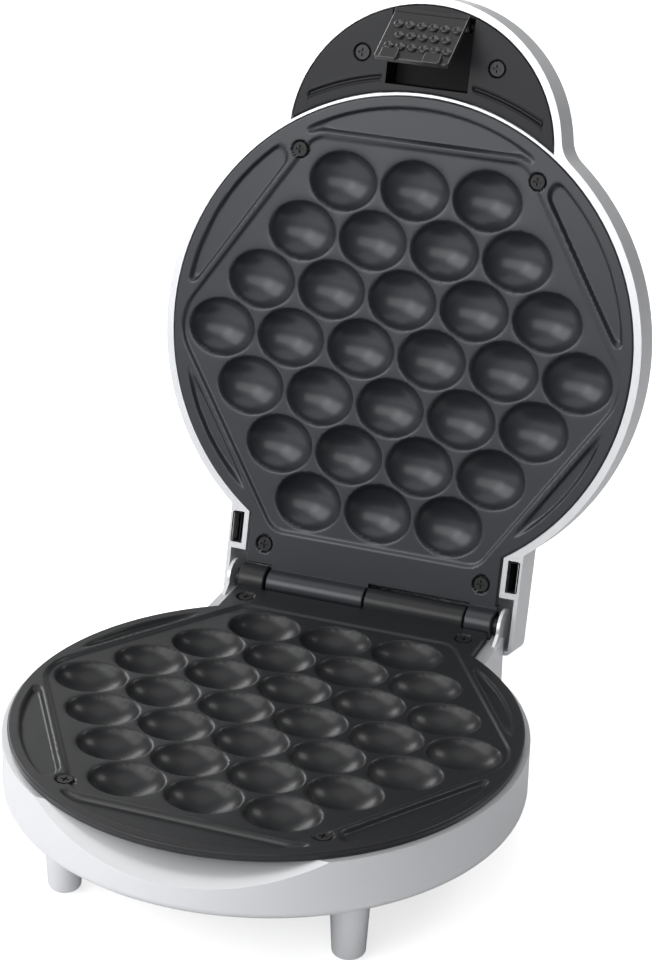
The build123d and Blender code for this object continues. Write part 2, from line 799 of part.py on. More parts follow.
with BuildPart() as terminal_block:
    with BuildSketch(Plane.XY.offset(base_floor)):
        with Locations((0, terminal_y)):
            Rectangle(terminal_size[0], terminal_size[1])
    extrude(amount=terminal_size[2])
    with BuildSketch(Plane.XY.offset(base_floor + terminal_size[2])):
        with Locations((0, terminal_y)):
            with GridLocations(terminal_size[0] / terminal_ways, 0, terminal_ways, 1):
                Circle(terminal_hole_radius)
    extrude(amount=-terminal_size[2] / 2, mode=Mode.SUBTRACT)

with BuildPart() as cord_gland:
    with BuildSketch(Plane.XZ.offset(-rear_back - gland_flange_thickness)):
        with Locations((gland_x, gland_level)):
            Circle(gland_flange)
    extrude(amount=gland_flange_thickness)
    with BuildSketch(Plane.XZ.offset(-rear_back)):
        with Locations((gland_x, gland_level)):
            Circle(gland_radius)
    extrude(amount=gland_inside)
    with BuildSketch(Plane.XZ.offset(-rear_back - gland_flange_thickness)):
        with Locations((gland_x, gland_level)):
            Circle(gland_bore)
    extrude(amount=gland_flange_thickness + gland_inside, mode=Mode.SUBTRACT)


def lamp_lens(x):
    """Clear lens that fills its hole in the lid's roof, with a flange inside."""
    lens_top = lid_top + lens_dome
    with BuildPart() as lens:
        with BuildSketch(Plane.XY.offset(lid_top - lid_roof - lens_flange_thickness)):
            with Locations((x, lamp_y)):
                Circle(lens_flange)
        extrude(amount=lens_flange_thickness)
        with BuildSketch(Plane.XY.offset(lid_top - lid_roof)):
            with Locations((x, lamp_y)):
                Circle(lens_radius)
        extrude(amount=lens_top - lid_top + lid_roof)
        fillet(lens.edges().group_by(Axis.Z)[-1], lens_dome / 2)
    return lens.part


def lamp(x):
    """Glow lamp below its lens."""
    with BuildPart() as bulb:
        with BuildSketch(Plane.XY.offset(lid_top - lid_roof - lens_flange_thickness)):
            with Locations((x, lamp_y)):
                Circle(lamp_radius)
        extrude(amount=-lamp_length)
        fillet(bulb.edges().group_by(Axis.Z)[0], lamp_radius / 2)
    return bulb.part


def turned_over(piece):
    """The same piece turned half a turn about the Y axis."""
    return piece.rotate(Axis.Y, 180)


# Every piece with the body that carries it, drawn with the lid shut and the latch folded
plate = cast_plate()
plate_screw_set = cross_screws(plate_screws, face_level - screw_seat_depth, screw_bite)
cover_screw_set = cross_screws(cover_screws, -cover_floor, screw_bite)
grip_screw_set = cross_screws(grip_screws, -lid_start - screw_seat_depth, screw_bite)
base_pieces = {
    "base_housing": base_housing.part,
    "bottom_cover": bottom_cover.part,
    "bottom_cover_screws": turned_over(cover_screw_set),
    "base_plate": plate,
    "base_plate_screws": plate_screw_set,
    "base_heater": heater(heater_level),
    "base_reflector": reflector(reflector_level),
    "thermostat": thermostat.part,
    "thermal_fuse": thermal_fuse.part,
    "terminal_block": terminal_block.part,
    "cord_gland": cord_gland.part,
    "hinge_pin": hinge_pin.part,
    "hinge_clip": hinge_clip.part,
}
for corner, (x, y) in feet_places.items():
    base_pieces[f"foot_{corner}"] = Pos(x, y, 0) * foot.part
    base_pieces[f"foot_pad_{corner}"] = Pos(x, y, 0) * foot_pad.part
lid_pieces = {
    "lid_housing": lid_housing.part,
    "lid_plate": turned_over(plate),
    "lid_plate_screws": turned_over(plate_screw_set),
    "lid_heater": turned_over(heater(heater_level)),
    "lid_reflector": turned_over(reflector(reflector_level)),
    "lid_thermal_fuse": turned_over(thermal_fuse.part),
    "handle_cover": handle_cover.part,
    "handle_cover_screws": turned_over(grip_screw_set),
    "power_lens": lamp_lens(-lamp_spread),
    "ready_lens": lamp_lens(lamp_spread),
    "power_lamp": lamp(-lamp_spread),
    "ready_lamp": lamp(lamp_spread),
    "latch_pin": latch_pin.part,
}

# Hang the latch, swing the lid open, and stand the maker on the table with its
# middle over the origin
hung_latch = latch.part.rotate(latch_line, -latch_hang_angle)
placed = dict(base_pieces)
placed.update({name: piece.rotate(hinge_line, -lid_open_angle) for name, piece in lid_pieces.items()})
placed["latch"] = hung_latch.rotate(hinge_line, -lid_open_angle)
extent = Compound(list(placed.values())).bounding_box()
middle_y = (extent.min.Y + extent.max.Y) / 2
for name, piece in placed.items():
    finished = Pos(0, -middle_y, parting_height) * piece
    finished.label = name
    export_step(finished, f"parts/{name}.step")

opened = Rot(-lid_open_angle, 0, 0)
latch_spot = opened * Pos(0, latch_front - hinge_back, latch_rise)
print("plate centre", 0, round(-middle_y, 3), parting_height)
print("hinge", 0, round(hinge_back - middle_y, 3), parting_height)
latch_at = latch_spot.position
print("latch pivot", 0, round(latch_at.Y + hinge_back - middle_y, 3), round(latch_at.Z + parting_height, 3))
gland_mouth = rear_back + gland_flange_thickness - middle_y
print("cord gland mouth", gland_x, round(gland_mouth, 3), gland_level + parting_height)
print("size", extent.size)
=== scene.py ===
import json
from math import cos, pi, radians, sin

import bpy
import numpy as np
from mathutils import Matrix, Vector


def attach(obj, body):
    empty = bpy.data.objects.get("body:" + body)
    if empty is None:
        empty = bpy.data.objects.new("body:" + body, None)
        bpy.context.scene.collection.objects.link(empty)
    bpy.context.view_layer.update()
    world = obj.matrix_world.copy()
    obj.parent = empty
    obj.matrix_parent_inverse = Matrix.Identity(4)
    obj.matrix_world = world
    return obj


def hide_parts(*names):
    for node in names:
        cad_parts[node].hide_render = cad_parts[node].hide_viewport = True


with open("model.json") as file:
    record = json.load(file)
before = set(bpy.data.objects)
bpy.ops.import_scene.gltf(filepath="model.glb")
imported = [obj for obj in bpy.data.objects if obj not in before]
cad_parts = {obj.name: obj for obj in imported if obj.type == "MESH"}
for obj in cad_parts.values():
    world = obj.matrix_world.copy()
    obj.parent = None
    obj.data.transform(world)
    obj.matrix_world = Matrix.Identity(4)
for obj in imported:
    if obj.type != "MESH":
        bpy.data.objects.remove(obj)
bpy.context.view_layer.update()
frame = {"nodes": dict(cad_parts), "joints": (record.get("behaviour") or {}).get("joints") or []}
mm = 0.001
print("frame loaded:", len(frame["nodes"]), "CAD nodes")

# Where the maker's own axes lie in the frame: the plate centre on the parting plane, and the two pivots
layout = {
    "plateCentreY": -0.045176,
    "partingZ": 0.056,
    "hinge": frame["joints"][0]["pos_m"],
    "lidOpen": frame["joints"][0]["range_deg"][1],
    "latchPivot": frame["joints"][1]["pos_m"],
    "latchHang": frame["joints"][1]["range_deg"][1],
}


def addNode(tree, kind, place=(0, 0), **values):
    node = tree.nodes.new(kind)
    node.location = place
    for key, value in values.items():
        setattr(node, key, value)
    return node


def addLinks(tree, *pairs):
    for start, end in pairs:
        tree.links.new(start, end)


def newGroup(name, inputs, outputs):
    group = bpy.data.node_groups.new(name, "ShaderNodeTree")
    for socketName, socketType, default in inputs:
        socket = group.interface.new_socket(socketName, in_out="INPUT", socket_type=socketType)
        socket.default_value = default
    for socketName, socketType in outputs:
        group.interface.new_socket(socketName, in_out="OUTPUT", socket_type=socketType)
    return group, addNode(group, "NodeGroupInput", (-900, 0)), addNode(group, "NodeGroupOutput", (700, 0))


grainForm = {"grainScale": 900.0, "cloudScale": 30.0, "cloudDetail": 3.0, "bumpDepth": 0.0001}


def makeGrainGroup(form):
    # Two sizes of noise: fine grain for the bump, and slow clouds for colour and roughness
    group, inn, out = newGroup(
        "surfaceGrain",
        [("Grain Scale", "NodeSocketFloat", form["grainScale"])],
        [("Grain", "NodeSocketFloat"), ("Clouds", "NodeSocketFloat")],
    )
    coords = addNode(group, "ShaderNodeTexCoord", (-900, 200))
    fine = addNode(group, "ShaderNodeTexNoise", (-400, 200))
    slow = addNode(group, "ShaderNodeTexNoise", (-400, -100))
    slow.inputs["Scale"].default_value = form["cloudScale"]
    slow.inputs["Detail"].default_value = form["cloudDetail"]
    addLinks(
        group,
        (coords.outputs["Object"], fine.inputs["Vector"]),
        (coords.outputs["Object"], slow.inputs["Vector"]),
        (inn.outputs["Grain Scale"], fine.inputs["Scale"]),
        (fine.outputs["Fac"], out.inputs["Grain"]),
        (slow.outputs["Fac"], out.inputs["Clouds"]),
    )
    return group


grainGroup = makeGrainGroup(grainForm)
shaderSockets = {
    "metallic": "Metallic", "coat": "Coat Weight", "coatRoughness": "Coat Roughness",
    "specular": "Specular IOR Level", "specularTint": "Specular Tint",
    "transmission": "Transmission Weight",
}


def finishMaterial(name, look):
    material = bpy.data.materials.new(name)
    material.use_nodes = True
    tree = material.node_tree
    shader = tree.nodes["Principled BSDF"]
    grain = addNode(tree, "ShaderNodeGroup", (-900, 0), node_tree=grainGroup)
    grain.inputs["Grain Scale"].default_value = look["grainScale"]
    tint = addNode(tree, "ShaderNodeMix", (-500, 200), data_type="RGBA")
    tint.inputs["A"].default_value = (*look["color"], 1.0)
    tint.inputs["B"].default_value = (*look["colorTo"], 1.0)
    rough = addNode(tree, "ShaderNodeMapRange", (-500, -50))
    rough.inputs["To Min"].default_value, rough.inputs["To Max"].default_value = look["roughness"]
    bump = addNode(tree, "ShaderNodeBump", (-500, -300))
    bump.inputs["Strength"].default_value = look["bump"]
    bump.inputs["Distance"].default_value = grainForm["bumpDepth"]
    addLinks(
        tree,
        (grain.outputs["Clouds"], tint.inputs["Factor"]),
        (tint.outputs["Result"], shader.inputs["Base Color"]),
        (grain.outputs["Clouds"], rough.inputs["Value"]),
        (rough.outputs["Result"], shader.inputs["Roughness"]),
        (grain.outputs["Grain"], bump.inputs["Height"]),
        (bump.outputs["Normal"], shader.inputs["Normal"]),
    )
    for key, socket in shaderSockets.items():
        if key in look:
            shader.inputs[socket].default_value = look[key]
    return material


looks = {
    "silverShell": {
        "color": (0.79, 0.80, 0.82), "colorTo": (0.82, 0.83, 0.85), "roughness": (0.28, 0.36),
        "grainScale": 2600.0, "bump": 0.06, "metallic": 0.5, "coat": 0.2, "coatRoughness": 0.12,
    },
    # nonStick and nonStickShadedBase are lit and shaded copies of the one coating: the base plate's copy
    # has less sheen and a more neutral tint, which is painted shade
    "nonStick": {
        "color": (0.0165, 0.0178, 0.0215), "colorTo": (0.021, 0.0225, 0.0262), "roughness": (0.36, 0.43),
        "grainScale": 1500.0, "bump": 0.2, "specular": 0.5, "specularTint": (0.93, 0.955, 1.0, 1.0),
        "coat": 0.36, "coatRoughness": 0.18,
    },
    "nonStickShadedBase": {
        "color": (0.0175, 0.0182, 0.0198), "colorTo": (0.0215, 0.0222, 0.024), "roughness": (0.34, 0.41),
        "grainScale": 1500.0, "bump": 0.2, "specular": 0.32, "coat": 0.12, "coatRoughness": 0.16,
    },
    "plateScrew": {
        "color": (0.016, 0.016, 0.017), "colorTo": (0.024, 0.024, 0.025), "roughness": (0.42, 0.52),
        "grainScale": 1800.0, "bump": 0.15, "specular": 0.35,
    },
    "coverBlack": {
        "color": (0.0115, 0.012, 0.0145), "colorTo": (0.015, 0.0157, 0.0185), "roughness": (0.3, 0.38),
        "grainScale": 1800.0, "bump": 0.12, "specular": 0.28,
    },
    # Near-black that is painted shade: darker than the cover, it stands in for the shade in the latch tray
    # and the arms' pockets
    "shadeBlack": {
        "color": (0.007, 0.007, 0.0075), "colorTo": (0.01, 0.01, 0.0105), "roughness": (0.5, 0.6),
        "grainScale": 1800.0, "bump": 0.1, "specular": 0.15,
    },
    "latchBlack": {
        "color": (0.018, 0.018, 0.0195), "colorTo": (0.024, 0.024, 0.0255), "roughness": (0.18, 0.26),
        "grainScale": 900.0, "bump": 0.05, "coat": 0.7, "coatRoughness": 0.07,
    },
    "darkScrew": {
        "color": (0.035, 0.035, 0.036), "colorTo": (0.05, 0.05, 0.052), "roughness": (0.3, 0.42),
        "grainScale": 1500.0, "bump": 0.2, "metallic": 0.9,
    },
    "brightSteel": {
        "color": (0.55, 0.55, 0.56), "colorTo": (0.62, 0.62, 0.63), "roughness": (0.25, 0.38),
        "grainScale": 1500.0, "bump": 0.1, "metallic": 1.0,
    },
    "undersideDark": {
        "color": (0.035, 0.035, 0.037), "colorTo": (0.045, 0.045, 0.047), "roughness": (0.5, 0.6),
        "grainScale": 1400.0, "bump": 0.35,
    },
    "rubber": {
        "color": (0.015, 0.015, 0.015), "colorTo": (0.022, 0.022, 0.022), "roughness": (0.7, 0.8),
        "grainScale": 1200.0, "bump": 0.3,
    },
    "heaterTube": {
        "color": (0.16, 0.15, 0.145), "colorTo": (0.22, 0.2, 0.18), "roughness": (0.45, 0.6),
        "grainScale": 700.0, "bump": 0.3, "metallic": 0.8,
    },
    "reflectorSheet": {
        "color": (0.7, 0.7, 0.71), "colorTo": (0.76, 0.76, 0.77), "roughness": (0.3, 0.4),
        "grainScale": 500.0, "bump": 0.1, "metallic": 1.0,
    },
    "terminalWhite": {
        "color": (0.7, 0.69, 0.65), "colorTo": (0.75, 0.74, 0.7), "roughness": (0.45, 0.55),
        "grainScale": 1500.0, "bump": 0.1,
    },
    "redLens": {
        "color": (0.55, 0.02, 0.015), "colorTo": (0.6, 0.03, 0.02), "roughness": (0.08, 0.12),
        "grainScale": 300.0, "bump": 0.02, "transmission": 0.4,
    },
    "greenLens": {
        "color": (0.02, 0.4, 0.07), "colorTo": (0.03, 0.45, 0.09), "roughness": (0.08, 0.12),
        "grainScale": 300.0, "bump": 0.02, "transmission": 0.4,
    },
    "lampGlass": {
        "color": (0.85, 0.8, 0.7), "colorTo": (0.9, 0.85, 0.75), "roughness": (0.05, 0.1),
        "grainScale": 300.0, "bump": 0.02, "transmission": 0.8,
    },
}
finishes = {name: finishMaterial(name, look) for name, look in looks.items()}

nodeFinish = {
    "base_housing": "silverShell", "lid_housing": "silverShell", "bottom_cover": "undersideDark",
    "base_plate": "nonStickShadedBase", "lid_plate": "nonStick", "base_plate_screws": "plateScrew",
    "lid_plate_screws": "plateScrew", "handle_cover_screws": "darkScrew",
    "bottom_cover_screws": "brightSteel", "base_heater": "heaterTube", "lid_heater": "heaterTube",
    "base_reflector": "reflectorSheet", "lid_reflector": "reflectorSheet", "thermostat": "brightSteel",
    "thermal_fuse": "brightSteel", "lid_thermal_fuse": "brightSteel", "terminal_block": "terminalWhite",
    # The latch pin takes the near-black of painted shade
    "cord_gland": "rubber", "hinge_pin": "darkScrew", "hinge_clip": "darkScrew", "latch_pin": "shadeBlack",
    "handle_cover": "coverBlack", "latch": "latchBlack", "power_lens": "redLens",
    "ready_lens": "greenLens", "power_lamp": "lampGlass", "ready_lamp": "lampGlass",
}
for corner in ("front_left", "front_right", "rear_left", "rear_right"):
    nodeFinish[f"foot_{corner}"] = "silverShell"
    nodeFinish[f"foot_pad_{corner}"] = "rubber"
for nodeName, finish in nodeFinish.items():
    node = frame["nodes"][nodeName]
    node.data.materials.clear()
    node.data.materials.append(finishes[finish])
print("materials on", len(nodeFinish), "CAD nodes")


def moved(x, y, z):
    return Matrix.Translation((x, y, z))


def aboutX(degrees, y, z):
    return moved(0, y, z) @ Matrix.Rotation(radians(degrees), 4, "X") @ moved(0, -y, -z)


# Model millimetres, lid shut, about the plate centre, to the placed frame in metres
shut = moved(0, layout["plateCentreY"], layout["partingZ"]) @ Matrix.Scale(mm, 4)
_, hingeY, hingeZ = layout["hinge"]
_, latchY, latchZ = layout["latchPivot"]
lidPlace = aboutX(-layout["lidOpen"], hingeY, hingeZ) @ shut
turnedOver = Matrix.Rotation(radians(180), 4, "Y")
latchPlace = aboutX(-layout["latchHang"], latchY, latchZ) @ lidPlace


def sheet(points, normals, closed=False):
    # A grid of points with a normal each, or one for all; closed joins the last column to the first
    rows, columns = points.shape[:2]
    index = np.arange(rows * columns).reshape(rows, columns)
    if closed:
        index = np.hstack([index, index[:, :1]])
    corners = (index[:-1, :-1], index[:-1, 1:], index[1:, 1:], index[1:, :-1])
    quads = np.stack(corners, -1).reshape(-1, 4)
    flat = points.reshape(-1, 3)
    given = np.broadcast_to(normals, points.shape).reshape(-1, 3)
    given = given / np.linalg.norm(given, axis=1, keepdims=True)
    first, second, third, fourth = (flat[quads[:, side]] for side in range(4))
    facing = np.cross(third - first, fourth - second)
    if (facing * given[quads].sum(1)).sum() < 0:
        quads = quads[:, ::-1]
    return flat, given, quads


def makePiece(name, sheets, place, body, finish):
    # Joins the sheets into one mesh in the placed frame, faces outward, with their own normals
    counts = np.cumsum([0] + [len(flat) for flat, _, _ in sheets])
    points = np.vstack([flat for flat, _, _ in sheets])
    normals = np.vstack([given for _, given, _ in sheets])
    quads = np.vstack([quads + start for (_, _, quads), start in zip(sheets, counts)])
    turn = np.array(place)
    points = points @ turn[:3, :3].T + turn[:3, 3]
    normals = normals @ turn[:3, :3].T
    normals = normals / np.linalg.norm(normals, axis=1, keepdims=True)
    mesh = bpy.data.meshes.new(name)
    mesh.from_pydata(points.tolist(), [], quads.tolist())
    mesh.polygons.foreach_set("use_smooth", np.ones(len(quads), dtype=bool))
    mesh.normals_split_custom_set_from_vertices(normals.tolist())
    mesh.materials.append(finishes[finish])
    piece = bpy.data.objects.new(name, mesh)
    bpy.context.scene.collection.objects.link(piece)
    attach(piece, body)
    return piece


def smoothStep(value):
    share = np.clip(value, 0, 1)
    return share * share * (3 - 2 * share)


def softMax(first, second, reach):
    # max(a, b) + h^2 reach / 4 with h = max(reach - |a - b|, 0) / reach
    near = np.maximum(reach - np.abs(first - second), 0) / reach
    return np.maximum(first, second) + near * near * reach / 4


def slopesOf(height, x, y, form, step):
    # The slopes of a height along x and along y, each measured over two steps
    return [(height(x + a, y + b, form) - height(x - a, y - b, form)) / (2 * step)
            for a, b in ((step, 0), (0, step))]


def seatShare(fromScrew, form):
    # 1 in a screw's round seat, 0 outside it
    grow, width = form["seatEdge"]
    return smoothStep((form["seatRadius"] + grow - fromScrew) / width)


def raised(flat, z):
    # Puts points (x, y) at one height, or each at its own
    return np.column_stack([flat, np.broadcast_to(z, len(flat))])


def carried(loop, out, profile):
    # The profile (grow, z, normal outward, normal up) carried round a closed loop
    points = np.stack([raised(loop + out * grow, z) for grow, z, _, _ in profile])
    normals = np.stack([raised(out * side, rise) for _, _, side, rise in profile])
    return points, normals


def quarterRound(edge, high, steps=5):
    # The profile of a rounded top edge, from the flat face out and down to the side
    turns = np.linspace(0, pi / 2, steps)
    return [(edge * np.sin(t), high - edge * (1 - np.cos(t)), np.sin(t), np.cos(t)) for t in turns]


plateForm = {
    "radius": 99.2, "edge": 0.8, "edgeSteps": 6, "face": -0.2, "lip": 3.2, "seam": 1.5, "seamInset": 0.25,
    "flangeHalf": 55.5, "flangeEnd": 103.7, "flangeThickness": 4.2,
    "rowSpacing": 0.76, "columns": 262, "frontAngles": (0.04, 0.34), "frontRows": 14, "rearRows": 24,
    "cupRows": (3, 4, 5, 6, 5, 4, 3), "cupPitch": 31.0, "cupRowStep": 22.5, "cupHalf": (14.4, 12.1),
    "cupDepth": 7.3, "cupFullness": 0.985, "cupRim": 1.1, "snap": 0.46, "snapOut": 0.2,
    "field": ((45.7, -79.0, 10.0), (99.8, 6.2, 22.0), (45.8, 89.2, 10.0)), "fieldDepth": 1.1,
    "fieldSlope": 1.9, "ridge": 1.3, "fieldStep": 0.1, "normalStep": 0.3,
    "troughRadius": 95.0, "troughDepth": 1.8, "troughSlope": 1.5, "troughEnd": 15.0, "troughRound": 4.0,
    "troughRear": 82.6, "screws": ((51.0, -71.8), (48.0, 94.7)), "screwLand": 5.2, "seatRadius": 3.6,
    "seatDepth": 1.8, "seatEdge": (0.3, 0.6), "bodyInset": 1.2, "bodyBottom": -11.5, "spokeSteps": 400,
    "hingeBack": 110.5, "knuckles": ((-56.0, -44.4, 6.6), (0.3, 43.7, 5.8)), "knuckleEdge": 0.7,
    "pinBore": 2.6, "webOverlap": 1.0,
}


def cupCentres(form):
    middle = (len(form["cupRows"]) - 1) / 2
    middleY = form["field"][1][1]
    return [((column - (count - 1) / 2) * form["cupPitch"], middleY + (row - middle) * form["cupRowStep"])
            for row, count in enumerate(form["cupRows"]) for column in range(count)]


def fieldDistance(x, y, form, grow=0):
    # Distance to the six-sided outline with rounded corners, negative inside:
    # the farthest of the six edge lines, and the circle round each corner's centre
    right = [np.array(point) for point in form["field"]]
    outline = right + [point * (-1, 1, 1) for point in reversed(right)]
    corners = [point[:2] for point in outline]
    roundings = [point[2] for point in outline]
    count = len(corners)
    edges = [corners[(side + 1) % count] - corners[side] for side in range(count)]
    outward = [np.array((edge[1], -edge[0])) / np.hypot(*edge) for edge in edges]
    offsets = [(x - c[0]) * n[0] + (y - c[1]) * n[1] for c, n in zip(corners, outward)]
    distance = np.max(offsets, axis=0)
    for side in range(count):
        before, after = outward[side - 1], outward[side]
        centre = corners[side] - roundings[side] * (before + after) / (1 + before @ after)
        dx, dy = x - centre[0], y - centre[1]
        within = (before[0] * dy - before[1] * dx > 0) & (dx * after[1] - dy * after[0] > 0)
        distance = np.where(within, np.hypot(dx, dy) - roundings[side], distance)
    return distance - grow


def cupShare(x, y, form):
    # q of the nearest cup: 1 on its rim, 0 at its centre, and the offset from that centre
    best = np.full(x.shape, np.inf)
    fromX, fromY = np.zeros_like(x), np.zeros_like(x)
    for centreX, centreY in cupCentres(form):
        dx, dy = x - centreX, y - centreY
        share = np.hypot(dx / form["cupHalf"][0], dy / form["cupHalf"][1])
        nearer = share < best
        best = np.where(nearer, share, best)
        fromX, fromY = np.where(nearer, dx, fromX), np.where(nearer, dy, fromY)
    return best, fromX, fromY


def plateHeight(x, y, form):
    # Cup: z = -D (sqrt(1 - f^2 q^2) - sqrt(1 - f^2)), run on straight past its rim and rounded there by
    # z = -(g + sqrt(g^2 + k^2)) / 2; the field and the troughs are smooth steps of their outlines' distance
    share, _, _ = cupShare(x, y, form)
    full = form["cupFullness"]
    rimLift = np.sqrt(1 - full**2)
    deep = form["cupDepth"] / (1 - rimLift)
    inside = deep * (np.sqrt(1 - full**2 * np.minimum(share, 1)**2) - rimLift)
    bowl = np.where(share < 1, inside, -deep * full**2 / rimLift * (share - 1))
    height = form["face"] - (bowl + np.sqrt(bowl**2 + form["cupRim"]**2)) / 2
    height = height - form["fieldDepth"] * smoothStep(-fieldDistance(x, y, form) / form["fieldSlope"])
    soft = form["troughRound"]
    trough = np.hypot(x, y) - form["troughRadius"]
    trough = softMax(trough, -fieldDistance(x, y, form, form["ridge"]), soft)
    trough = softMax(trough, form["troughEnd"] - np.abs(y - form["field"][1][1]), soft)
    trough = softMax(trough, y - form["troughRear"], soft)
    for screwX, screwY in form["screws"]:
        # The land runs from the screw straight out to the rim
        dx, dy = np.abs(x) - screwX, y - screwY
        far = np.hypot(screwX, screwY)
        along = np.maximum((dx * screwX + dy * screwY) / far, 0) / far
        fromLand = np.hypot(dx - screwX * along, dy - screwY * along)
        trough = softMax(trough, form["screwLand"] - fromLand, soft)
        height = height - form["seatDepth"] * seatShare(np.hypot(dx, dy), form)
    return height - form["troughDepth"] * smoothStep(-trough / form["troughSlope"])


def plateOutline(form):
    # Rows of constant y and the half width of each, which follows the round edge and then the flange
    reach = form["radius"] - form["edge"]
    half = form["flangeHalf"] - form["edge"]
    joinY = np.sqrt(reach**2 - half**2)
    front = -reach * np.cos(np.linspace(*form["frontAngles"], form["frontRows"]))
    middleCount = int((joinY - front[-1]) / form["rowSpacing"])
    middle = np.linspace(front[-1], joinY, middleCount)[1:]
    rear = np.linspace(joinY, form["flangeEnd"] - form["edge"], form["rearRows"])[1:]
    rows = np.concatenate([front, middle, rear])
    roundHalf = np.sqrt(np.maximum(reach**2 - rows**2, half**2 * (rows > 0)))
    return rows, np.where(rows <= joinY, roundHalf, half), joinY


def slideOn(x, y, gap, slopes, reach):
    # Points nearer to a line than the reach move on to it, apart from those on the grid's own edge
    near = np.abs(gap) < reach
    inner = (slice(1, -1), slice(1, -1))
    for values, slope in zip((x, y), slopes):
        values[inner] -= np.where(near, gap * slope, 0)[inner]


def plateTop(form, rows, halfWidth):
    # The grid of the upper face, with points on the cups' rims and on the middle line of the ridge
    x = np.linspace(-1, 1, form["columns"]) * halfWidth[:, None]
    y = np.repeat(rows[:, None], form["columns"], axis=1)
    reach = form["snap"] * form["rowSpacing"]
    share, dx, dy = cupShare(x, y, form)
    slopeX = dx / form["cupHalf"][0]**2 / share
    slopeY = dy / form["cupHalf"][1]**2 / share
    steep = np.hypot(slopeX, slopeY)
    slideOn(x, y, (share - 1) / steep - form["snapOut"], (slopeX / steep, slopeY / steep), reach)
    gap = fieldDistance(x, y, form, form["ridge"] / 2)
    slideOn(x, y, gap, slopesOf(fieldDistance, x, y, form, form["fieldStep"]), reach)
    slopeX, slopeY = slopesOf(plateHeight, x, y, form, form["normalStep"])
    normals = np.stack([-slopeX, -slopeY, np.ones_like(x)], -1)
    normals[[0, -1]] = (0, 0, 1)
    normals[:, [0, -1]] = (0, 0, 1)
    return np.stack([x, y, plateHeight(x, y, form)], -1), normals


def plateSheets(form):
    rows, halfWidth, joinY = plateOutline(form)
    top, topNormals = plateTop(form, rows, halfWidth)
    # The rim: a rounded edge and a fine seam below it, carried round the outline
    loop = np.vstack([top[:, -1], top[-1, -2::-1], top[-2::-1, 0], top[0, 1:-1]])[:, :2]
    ahead = np.roll(loop, -1, axis=0) - np.roll(loop, 1, axis=0)
    out = np.stack([ahead[:, 1], -ahead[:, 0]], -1) / np.linalg.norm(ahead, axis=1)[:, None]
    face, inset = form["face"], form["seamInset"]
    side, seam = form["edge"] - inset, face - form["seam"]
    profile = quarterRound(form["edge"], face, form["edgeSteps"])
    profile += [(form["edge"], seam, 1, 0), (side, seam - inset, 1, -1), (side, seam - 2 * inset, 1, 0)]
    rim, rimNormals = carried(loop, out, profile)
    # Below it: the side, the ledge in to the body, the body's wall and its flat underside
    bottom = face - np.where(loop[:, 1] > joinY, form["flangeThickness"], form["lip"])
    lowest = raised(loop + out * side, bottom)
    middle = np.array((0, form["field"][1][1]))
    spoke = loop - middle
    shares = np.linspace(0, 1, form["spokeSteps"])
    # Each spoke meets the body's outline at the first share whose distance is past zero
    along = middle + spoke[:, None, :] * shares[None, :, None]
    past = fieldDistance(along[..., 0], along[..., 1], form, -form["bodyInset"]) > 0
    body = middle + spoke * shares[np.argmax(past, axis=1)][:, None]
    ledge, foot = raised(body, bottom), raised(body, form["bodyBottom"])
    hub = raised(middle + spoke * 0, form["bodyBottom"])
    sheets = [sheet(top, topNormals), sheet(rim, rimNormals, True)]
    down, outward = (0, 0, -1), raised(spoke, 0)
    for upper, lower, normals in ((rim[-1], lowest, rimNormals[-1]), (lowest, ledge, down),
                                  (ledge, foot, outward), (foot, hub, down)):
        sheets.append(sheet(np.stack([upper, lower]), normals, True))
    for left, right, radius in form["knuckles"]:
        sheets += knuckleSheets(left, right, radius, form)
    return sheets


def ringSheet(stations, centre, count=48):
    # Rings about an X line: stations are (x, radius, normal along x, normal outward)
    turns = np.linspace(0, 2 * pi, count, endpoint=False)
    around = np.stack([np.zeros(count), np.cos(turns), np.sin(turns)], -1)
    points = np.stack([around * radius + (x, *centre) for x, radius, _, _ in stations])
    normals = np.stack([around * side + (along, 0, 0) for _, _, along, side in stations])
    return sheet(points, normals, True)


def barStations(left, right, radius, edge):
    # The outside of a round bar with rounded ends: the left end, and the right one as its mirror image
    start = [(left + radius - z, radius - edge + grow, -rise, side)
             for grow, z, side, rise in quarterRound(edge, radius)]
    return start + [(left + right - x, out, -along, side) for x, out, along, side in reversed(start)]


def knuckleSheets(left, right, radius, form):
    # A closed tube round the pin's bore with rounded ends, and the web that joins it to the flange
    bore, centre, face = form["pinBore"], (form["hingeBack"], 0), radius - form["knuckleEdge"]
    sheets = [ringSheet(barStations(left, right, radius, form["knuckleEdge"]), centre),
              ringSheet([(left, bore, -1, 0), (left, face, -1, 0)], centre),
              ringSheet([(right, face, 1, 0), (right, bore, 1, 0)], centre),
              ringSheet([(left, bore, 0, -1), (right, bore, 0, -1)], centre)]
    low, high = form["face"] - form["flangeThickness"], form["face"]
    front, rear = form["flangeEnd"] - form["webOverlap"], form["hingeBack"]
    section = [(front, low), (rear, low), (rear, high), (front, high)]
    for (y0, z0), (y1, z1) in zip(section, section[1:] + section[:1]):
        points = np.array([[(left, y0, z0), (right, y0, z0)], [(left, y1, z1), (right, y1, z1)]])
        sheets.append(sheet(points, (0, z0 - z1, y1 - y0)))
    for x, way in ((left, -1), (right, 1)):
        points = np.array([[(x, front, low), (x, rear, low)], [(x, front, high), (x, rear, high)]])
        sheets.append(sheet(points, (way, 0, 0)))
    return sheets


castSheets = plateSheets(plateForm)
# The base plate takes the shaded copy of the coating, which is painted shade
basePlate = makePiece("castPlateBase", castSheets, shut, "base", "nonStickShadedBase")
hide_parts("base_plate")
lidPlate = makePiece("castPlateLid", castSheets, lidPlace @ turnedOver, "lid", "nonStick")
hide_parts("lid_plate")
print("plates ready:", len(basePlate.data.polygons), "faces each")


